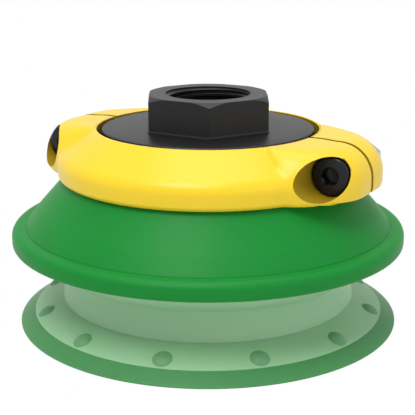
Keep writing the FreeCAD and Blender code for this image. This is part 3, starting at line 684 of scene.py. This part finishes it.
class VACUUMCUP_OT_fitting(bpy.types.Operator):
    """Add the turned fitting with its hexagon, plate and threaded port"""
    bl_idname = "vacuumcup.fitting"
    bl_label = "Fitting"

    def execute(self, context):
        sizes = context.scene.fitting_sizes
        top, plate_top = high_of("fitting_body"), CLAMP_TOP - 0.02 * MM
        plate_low = plate_top - sizes.plate_height
        flange_top = plate_low - sizes.groove_height
        recess_top = high_of("filter_mesh")
        funnel_top = top - sizes.port_length
        plate = [(PORT_RADIUS, plate_top, 0), (PLATE_RADIUS, plate_top, 0.35 * MM),
                 (PLATE_RADIUS, plate_low, 0.2 * MM), (sizes.hub_radius, plate_low, 0.2 * MM),
                 (sizes.hub_radius, flange_top, 0.2 * MM), (PLATE_RADIUS, flange_top, 0.2 * MM),
                 (PLATE_RADIUS, CHAMBER_TOP, 0.3 * MM), (sizes.filter_seat, CHAMBER_TOP, 0.2 * MM),
                 (sizes.filter_seat, recess_top, 0), (sizes.filter_seat - 2 * MM, recess_top, 0),
                 (PORT_RADIUS, funnel_top, 0)]
        piece = mesh_object(spun(rounded(plate, 4), 192), "fitting_turned")
        cut(piece, self.hexagon(sizes, plate_top, top), "UNION")
        cut(piece, self.bore(sizes, funnel_top, top))
        soften_edges(piece, 0.15 * MM, 28)
        finish(piece, "fitting_body", MATERIALS["black"], angle=28)
        return {"FINISHED"}

    def hexagon(self, sizes, foot, top):
        """Hexagon with a cove at its foot and a turned chamfer at its top."""
        cove, sink = sizes.hex_cove, 0.5 * MM
        mesh = bmesh.new()
        corner = sizes.hex_flats / math.sqrt(3)
        ring = bmesh.ops.create_circle(mesh, cap_ends=True, segments=6, radius=corner + cove / math.cos(math.pi / 6))
        start = Matrix.Translation((0, 0, foot - sink)) @ Matrix.Rotation(sizes.hex_turn, 4, "Z")
        bmesh.ops.transform(mesh, matrix=start, verts=ring["verts"])
        face = mesh.faces[:][0]
        levels = [(foot, 0.0)] + [(foot + cove * (1 - math.cos(angle)), cove * math.sin(angle))
                                  for angle in (math.pi / 2 * step / 5 for step in range(1, 6))]
        levels.append((top + MM, cove))
        height, inset = foot - sink, 0.0
        for next_height, next_inset in levels:
            grown = bmesh.ops.extrude_face_region(mesh, geom=[face])["geom"]
            face = next(item for item in grown if isinstance(item, bmesh.types.BMFace))
            full = corner + (cove - inset) / math.cos(math.pi / 6)
            less = corner + (cove - next_inset) / math.cos(math.pi / 6)
            bmesh.ops.scale(mesh, vec=(less / full, less / full, 1), verts=face.verts)
            bmesh.ops.translate(mesh, vec=(0, 0, next_height - height), verts=face.verts)
            height, inset = next_height, next_inset
        bmesh.ops.delete(mesh, geom=[item for item in mesh.faces if len(item.verts) == 6
                                     and abs(item.calc_center_median().z - foot + sink) > 1e-6
                                     and item is not face and abs(item.normal.z) > 0.9], context="FACES_ONLY")
        bmesh.ops.recalc_face_normals(mesh, faces=mesh.faces)
        piece = mesh_object(mesh, "hexagon")
        wide = corner + 2 * MM
        fall = (wide - sizes.hex_face) * sizes.hex_fall
        envelope = [(0, foot - MM), (wide, foot - MM), (wide, top - fall), (sizes.hex_face, top), (0, top)]
        cut(piece, lathe(envelope, Matrix.Identity(4), 360), "INTERSECT")
        mesh = bmesh.new()
        mesh.from_mesh(piece.data)
        bpy.data.objects.remove(piece)
        return mesh

    def bore(self, sizes, low, top):
        """Cutter for the threaded port: a helical ridge on a core, with a countersink at the mouth."""
        pitch, depth, steps = sizes.thread_pitch, sizes.thread_depth, 64
        core = [(0, low - MM), (PORT_RADIUS, low - MM), (PORT_RADIUS, top - 0.8 * MM),
                (PORT_RADIUS + depth, top - 0.8 * MM + depth * 0.6), (PORT_RADIUS + depth, top + MM), (0, top + MM)]
        piece = mesh_object(lathe(core, Matrix.Identity(4), 128), "bore")
        mesh = bmesh.new()
        turns = int((sizes.port_length - 1.6 * MM) / pitch)
        start = top - 0.6 * MM
        root, inner, half, tip = PORT_RADIUS + depth, PORT_RADIUS - 0.3 * MM, pitch * 0.46, pitch * 0.1
        section = [(inner, start + half), (root, start + tip), (root, start - tip), (inner, start - half)]
        face = mesh.faces.new([mesh.verts.new((radius, 0, height)) for radius, height in section])
        bmesh.ops.spin(mesh, geom=[face], cent=(0, 0, 0), axis=(0, 0, 1), dvec=(0, 0, -pitch / steps),
                       angle=math.tau * turns, steps=steps * turns)
        tidy(mesh)
        cut(piece, mesh, "UNION")
        mesh = bmesh.new()
        mesh.from_mesh(piece.data)
        bpy.data.objects.remove(piece)
        return mesh


class VACUUMCUP_OT_filter(bpy.types.Operator):
    """Add the woven filter disc and the ring that holds it"""
    bl_idname = "vacuumcup.filter"
    bl_label = "Filter"

    def execute(self, context):
        sizes = context.scene.fitting_sizes
        low, high, reach = low_of("filter_mesh"), high_of("filter_mesh"), reach_of("filter_mesh")
        inner = reach - 1.7 * MM
        disc = spun(rounded([(inner, low, 0.1 * MM), (reach, low, 0.1 * MM), (reach, high, 0.1 * MM),
                             (inner, high, 0.1 * MM)], 3), 128)
        self.weave(disc, inner, (low + high) / 2, (high - low) * 0.24, sizes.cloth_pitch)
        finish(mesh_object(disc, "filter_cloth"), "filter_mesh", MATERIALS["steel"])
        low, high, reach = low_of("filter_ring"), high_of("filter_ring"), reach_of("filter_ring")
        ring = spun(rounded([(reach - 1.7 * MM, low, 0.3 * MM), (reach, low, 0.2 * MM), (reach, high, 0.1 * MM),
                             (reach - 1.7 * MM, high, 0.1 * MM)], 4), 160)
        finish(mesh_object(ring, "filter_retainer"), "filter_ring", MATERIALS["steel"])
        return {"FINISHED"}

    def weave(self, disc, inner, middle, wire, pitch):
        """Wave-shaped wires both ways, each over one neighbour and under the next."""
        count = int(inner / pitch)
        for index in range(-count, count + 1):
            offset = index * pitch
            span = math.sqrt(inner ** 2 - offset ** 2) + 0.3 * MM
            for turned in (False, True):
                rod = bmesh.new()
                lay = Matrix.Translation((0, offset, middle)) @ Matrix.Rotation(math.pi / 2, 4, "Y")
                bmesh.ops.create_cone(rod, segments=5, radius1=wire, radius2=wire, depth=2 * span, matrix=lay)
                lengths = [edge for edge in rod.edges if edge.calc_length() > span]
                bmesh.ops.subdivide_edges(rod, edges=lengths, cuts=int(span / pitch * 8))
                lift = wire * 0.95 * (-1) ** (index + turned)
                for vert in rod.verts:
                    vert.co.z += lift * math.cos(vert.co.x / pitch * math.pi)
                bmesh.ops.rotate(rod, cent=(0, 0, 0), matrix=Matrix.Rotation(math.pi / 2 * turned, 3, "Z"),
                                 verts=rod.verts)
                add_mesh(disc, rod)


class VACUUMCUP_OT_clamp(bpy.types.Operator):
    """Add both halves of the moulded clamp"""
    bl_idname = "vacuumcup.clamp"
    bl_label = "Clamp"

    def execute(self, context):
        sizes = context.scene.clamp_sizes
        for node, side in (("clamp_front", -1), ("clamp_rear", 1)):
            mesh = self.full_ring(sizes)
            self.halve(mesh, side, sizes.split_gap / 2)
            piece = mesh_object(mesh, node.replace("_", "_half_"))
            self.drill(piece, sizes, side)
            finish(piece, node, MATERIALS["yellow"], angle=38)
            # Faces inside the clamp get the darker yellow, which is painted shade.
            paint(piece, MATERIALS["yellow_painted_shade"], lambda centre: self.is_shaded_inside(sizes, centre))
            piece.data.transform(Matrix.Rotation(sizes.split_turn, 4, "Z"))
            soften_edges(piece, 0.18 * MM, 40)
        return {"FINISHED"}

    def is_shaded_inside(self, sizes, centre):
        """True on the faces inside the clamp, which get painted shade: the split, the hole, the neck's cavity and the
        screw holes.
        """
        bore = math.hypot(abs(centre.x) - sizes.screw_reach, centre.z - CLAMP_LOW - sizes.screw_rise)
        radius = math.hypot(centre.x, centre.y)
        return (abs(centre.y) < sizes.split_gap / 2 + 0.02 * MM or bore < sizes.head_radius + BORE_GAP + 0.01 * MM
                or radius < sizes.hole_radius + 0.01 * MM)

    def ear_outline(self, sizes, side, flat):
        """Outside of the section through an ear, at an angle from the ear's middle."""
        centre = Vector((sizes.ear_reach - sizes.ear_corner, flat))
        ray = Vector((math.cos(side), math.sin(side)))
        along = centre.dot(ray)
        corner = along + math.sqrt(max(sizes.ear_corner ** 2 - centre.length_squared + along ** 2, 0))
        reach = sizes.ear_reach / ray.x if sizes.ear_reach * math.tan(side) < flat else corner
        top = CLAMP_TOP - 0.2 * MM
        return rounded([(0, top, 0), (reach, top, sizes.ear_round), (reach, CLAMP_LOW, sizes.low_round),
                        (0, CLAMP_LOW, 0)], 8)

    def grown(self, sizes, side, flat, radius, height):
        """Where a point of the ring's outside goes so that the ear runs softly out of the ring."""
        core = Vector((26.0 * MM, CLAMP_LOW + 2.5 * MM))
        spoke = Vector((radius, height)) - core
        own = spoke.length
        ear = self.ear_outline(sizes, side, flat)
        if max(point[0] for point in ear) < core.x:
            return radius, height
        reached = max(reach_along(ear, core, spoke / own), 0)
        share = max(1 - abs(reached - own) / sizes.ear_blend, 0)
        place = core + spoke / own * (max(own, reached) + share * share * sizes.ear_blend / 4)
        return place.x, min(max(place.y, CLAMP_LOW), CLAMP_TOP)

    def full_ring(self, sizes):
        """The whole ring, spun and then drawn out to its ears."""
        neck, mouth, roof, foot = CAVITY_RADIUS, MOUTH_RADIUS, CLAMP_TOP - CLAMP_ROOF, CLAMP_LOW + MOUTH_DEPTH
        outline = rounded([(sizes.hole_radius, CLAMP_TOP, 0.12 * MM),
                           (sizes.hole_radius + sizes.top_flat, CLAMP_TOP, 0.6 * MM),
                           (sizes.band_radius, CLAMP_TOP - sizes.slope_drop, sizes.shoulder_round),
                           (sizes.band_radius, CLAMP_LOW, sizes.low_round), (mouth, CLAMP_LOW, 0),
                           (27.82 * MM, CLAMP_LOW + 0.2 * MM, 0), (neck, foot, 0), (neck, roof, 0),
                           (sizes.hole_radius, roof, 0)], 8)
        mesh = spun(refined(outline, 0.4 * MM), 360)
        places = {}
        for vert in mesh.verts:
            radius, angle = polar(vert)
            side = abs(math.atan2(math.sin(angle), math.cos(angle)))
            side = min(side, math.pi - side)
            low = radius < mouth + 1e-6 and vert.co.z < foot + 1e-6
            inside = radius < neck + 1e-6 and vert.co.z < roof + 1e-6
            if low or inside or radius < sizes.hole_radius + 0.4 * MM or side > math.radians(62):
                continue
            flat = sizes.ear_front if angle < 0 else sizes.ear_rear
            key = (round(side, 4), flat, round(radius, 6), round(vert.co.z, 6))
            if key not in places:
                places[key] = self.grown(sizes, side, flat, radius, vert.co.z)
            place_polar(vert, places[key][0], angle, places[key][1])
        weld(mesh)
        return mesh

    def halve(self, mesh, side, gap):
        """Keep one side of the split and close the cut."""
        everything = mesh.verts[:] + mesh.edges[:] + mesh.faces[:]
        made = bmesh.ops.bisect_plane(mesh, geom=everything, plane_co=(0, gap * side, 0), plane_no=(0, -side, 0),
                                      clear_outer=True)
        rim = [item for item in made["geom_cut"] if isinstance(item, bmesh.types.BMEdge)]
        bmesh.ops.holes_fill(mesh, edges=rim, sides=0)
        weld(mesh)
        put_in_order(mesh)

    def drill(self, piece, sizes, side):
        """Screw holes, with counterbores in the front half and nut pockets in the rear one."""
        level = CLAMP_LOW + sizes.screw_rise
        for hand in (1, -1):
            along = Matrix.Translation((sizes.screw_reach * hand, 0, level)) @ Matrix.Rotation(math.pi / 2, 4, "X")
            hole, bore, far = 2.25 * MM, sizes.head_radius + BORE_GAP, 30 * MM
            if side < 0:
                outline = [(0, -MM), (hole, -MM), (hole, sizes.screw_seat), (bore, sizes.screw_seat), (bore, far),
                           (0, far)]
                cut(piece, lathe(outline, along, 96))
            else:
                cut(piece, lathe([(0, MM), (hole, MM), (hole, -far), (0, -far)], along, 96))
                pocket = (sizes.nut_flats / 2 + 0.1 * MM) / math.cos(math.pi / 6)
                cut(piece, lathe([(0, -sizes.nut_seat), (pocket, -sizes.nut_seat), (pocket, -far), (0, -far)],
                                 along @ Matrix.Rotation(math.pi / 6, 4, "Z"), 6))


class VACUUMCUP_OT_screws(bpy.types.Operator):
    """Add the two cap screws and their nuts"""
    bl_idname = "vacuumcup.screws"
    bl_label = "Screws and nuts"

    def execute(self, context):
        sizes = context.scene.clamp_sizes
        level = CLAMP_LOW + sizes.screw_rise
        for hand, name in ((1, "right"), (-1, "left")):
            along = (Matrix.Rotation(sizes.split_turn, 4, "Z")
                     @ Matrix.Translation((sizes.screw_reach * hand, 0, level)) @ Matrix.Rotation(math.pi / 2, 4, "X"))
            self.screw(sizes, along, "screw_" + name)
            self.nut(sizes, along, "nut_" + name)
        return {"FINISHED"}

    def screw(self, sizes, along, node):
        face, socket, shank = sizes.screw_seat + sizes.head_height, 3.0 * MM, 2.0 * MM
        tip = sizes.screw_seat - sizes.screw_length
        nominal = socket / 2
        head = sizes.head_radius
        points = [(0, face - 2.4 * MM), (nominal * 0.8, face - 2.0 * MM), (nominal, face - 2.0 * MM),
                  (nominal, face - 0.25 * MM), (nominal + 0.2 * MM, face)]
        points += arc((head - 0.45 * MM, face - 0.45 * MM), 0.45 * MM, 90, 0, 5)
        points += [(head, sizes.screw_seat + 0.1 * MM), (head - 0.1 * MM, sizes.screw_seat),
                   (shank, sizes.screw_seat), (shank, tip + 0.4 * MM), (shank - 0.4 * MM, tip), (0, tip)]
        mesh = lathe(points, Matrix.Identity(4), 96)
        for vert in mesh.verts:
            radius, angle = polar(vert)
            if nominal - 1e-6 < radius < nominal + 0.05 * MM and vert.co.z > face - 2.1 * MM:
                place_polar(vert, hexagon_radius(angle, socket, 1.0), angle, vert.co.z)
        bmesh.ops.transform(mesh, matrix=along, verts=mesh.verts)
        finish(mesh_object(mesh, node.replace("screw", "cap_screw")), node, MATERIALS["screw"], angle=28)

    def nut(self, sizes, along, node):
        flats, thick = sizes.nut_flats, 3.2 * MM
        near, away = -sizes.nut_seat, -sizes.nut_seat - thick
        nominal, face, bore = flats / 2, flats / 2 * 0.96, 2.06 * MM
        points = [(bore, near), (face, near), (nominal, near), (nominal, away), (face, away), (bore, away)]
        mesh = spun(points, 96)
        for vert in mesh.verts:
            radius, angle = polar(vert)
            if radius > nominal - 1e-6:
                outline = hexagon_radius(angle, flats, 1.0)
                drop = (outline - face) * 0.5
                place_polar(vert, outline, angle, vert.co.z - drop if vert.co.z > away + 1e-6 else vert.co.z + drop)
        turned = along @ Matrix.Rotation(math.pi / 6, 4, "Z")
        bmesh.ops.transform(mesh, matrix=turned, verts=mesh.verts)
        finish(mesh_object(mesh, node.replace("nut", "hex_nut")), node, MATERIALS["steel"], angle=28)


# ---------------------------------------------------------------- stage

class VACUUMCUP_OT_stage(bpy.types.Operator):
    """Add the floor, the soft light and the camera"""
    bl_idname = "vacuumcup.stage"
    bl_label = "Stage"

    def execute(self, context):
        scene = context.scene
        scene.view_settings.view_transform = "Standard"
        self.world(scene)
        self.floor()
        self.lamps()
        self.camera(scene)
        return {"FINISHED"}

    def world(self, scene):
        world = bpy.data.worlds.new("Studio")
        scene.world = world
        world.use_nodes = True
        tree = world.node_tree
        tree.nodes["Background"].inputs["Color"].default_value = (1, 1, 1, 1)
        tree.nodes["Background"].inputs["Strength"].default_value = 0.52
        self.show_white(tree, tree.nodes["Background"].outputs[0], tree.nodes["World Output"])

    def show_white(self, tree, plain, output):
        """White for the camera and in reflections, plain for the light that falls on the object."""
        white = tree.nodes.new("ShaderNodeBackground" if output.bl_idname == "ShaderNodeOutputWorld"
                               else "ShaderNodeEmission")
        rays = tree.nodes.new("ShaderNodeLightPath")
        seen = tree.nodes.new("ShaderNodeMath")
        seen.operation = "MAXIMUM"
        tree.links.new(rays.outputs["Is Camera Ray"], seen.inputs[0])
        passed = tree.nodes.new("ShaderNodeMath")
        passed.operation = "MAXIMUM"
        tree.links.new(rays.outputs["Is Glossy Ray"], passed.inputs[0])
        tree.links.new(rays.outputs["Is Transmission Ray"], passed.inputs[1])
        tree.links.new(passed.outputs[0], seen.inputs[1])
        mix = tree.nodes.new("ShaderNodeMixShader")
        tree.links.new(seen.outputs[0], mix.inputs[0])
        tree.links.new(plain, mix.inputs[1])
        tree.links.new(white.outputs[0], mix.inputs[2])
        tree.links.new(mix.outputs[0], output.inputs["Surface"])

    def floor(self):
        mesh = bmesh.new()
        bmesh.ops.create_circle(mesh, cap_ends=True, segments=64, radius=3.0)
        floor = mesh_object(mesh, "floor")
        floor.location.z = -0.0001
        material = bpy.data.materials.new("Floor")
        material.use_nodes = True
        tree = material.node_tree
        shader = tree.nodes["Principled BSDF"]
        shader.inputs["Base Color"].default_value = (0.8, 0.8, 0.8, 1)
        shader.inputs["Roughness"].default_value = 0.9
        self.show_white(tree, shader.outputs[0], tree.nodes["Material Output"])
        floor.data.materials.append(material)

    def lamps(self):
        for name, place, size, power in (("key", (-0.15, -0.30, 0.60), 0.35, 2.6),
                                         ("fill", (0.45, -0.35, 0.25), 0.50, 0.4),
                                         ("top", (0.0, 0.10, 0.80), 0.60, 2.2)):
            lamp = bpy.data.lights.new(name, "AREA")
            lamp.shape = "DISK"
            lamp.size = size
            lamp.energy = power
            thing = bpy.data.objects.new(name, lamp)
            thing.location = place
            thing.rotation_euler = (Vector((0, 0, 0.02)) - Vector(place)).to_track_quat("-Z", "Y").to_euler()
            bpy.context.scene.collection.objects.link(thing)

    def camera(self, scene):
        data = bpy.data.cameras.new("camera")
        data.sensor_width = 36.0
        data.lens = 88.56
        data.shift_x = -0.0012
        camera = bpy.data.objects.new("camera", data)
        camera.location = (0, -195.485 * MM, 76.002 * MM)
        camera.rotation_euler = (math.radians(74.415), 0, 0)
        scene.collection.objects.link(camera)
        scene.camera = camera


class VACUUMCUP_PT_panel(bpy.types.Panel):
    """Sidebar panel with the cup's operators and settings"""
    bl_label = "Vacuum cup"
    bl_space_type = "VIEW_3D"
    bl_region_type = "UI"
    bl_category = "Vacuum cup"

    def draw(self, context):
        for operator in OPERATORS:
            self.layout.operator(operator.bl_idname)
        for group in GROUPS:
            box = self.layout.box()
            for name in GROUPS[group].__annotations__:
                box.prop(getattr(context.scene, group), name)


GROUPS = {"cup_sizes": CupSizes, "clamp_sizes": ClampSizes, "fitting_sizes": FittingSizes, "cup_colours": CupColours}
OPERATORS = [VACUUMCUP_OT_stage, VACUUMCUP_OT_lip, VACUUMCUP_OT_fold, VACUUMCUP_OT_rim, VACUUMCUP_OT_cone,
             VACUUMCUP_OT_neck, VACUUMCUP_OT_fitting, VACUUMCUP_OT_filter, VACUUMCUP_OT_clamp, VACUUMCUP_OT_screws]


def register():
    for name, group in GROUPS.items():
        bpy.utils.register_class(group)
        setattr(bpy.types.Scene, name, bpy.props.PointerProperty(type=group))
    for item in OPERATORS + [VACUUMCUP_PT_panel]:
        bpy.utils.register_class(item)


def unregister():
    for item in [VACUUMCUP_PT_panel] + OPERATORS[::-1]:
        bpy.utils.unregister_class(item)
    for name, group in GROUPS.items():
        delattr(bpy.types.Scene, name)
        bpy.utils.unregister_class(group)


def main():
    register()
    make_materials(bpy.context.scene.cup_colours)
    for operator in OPERATORS:
        group, name = operator.bl_idname.split(".")
        getattr(getattr(bpy.ops, group), name)()


if __name__ == "__main__":
    main()
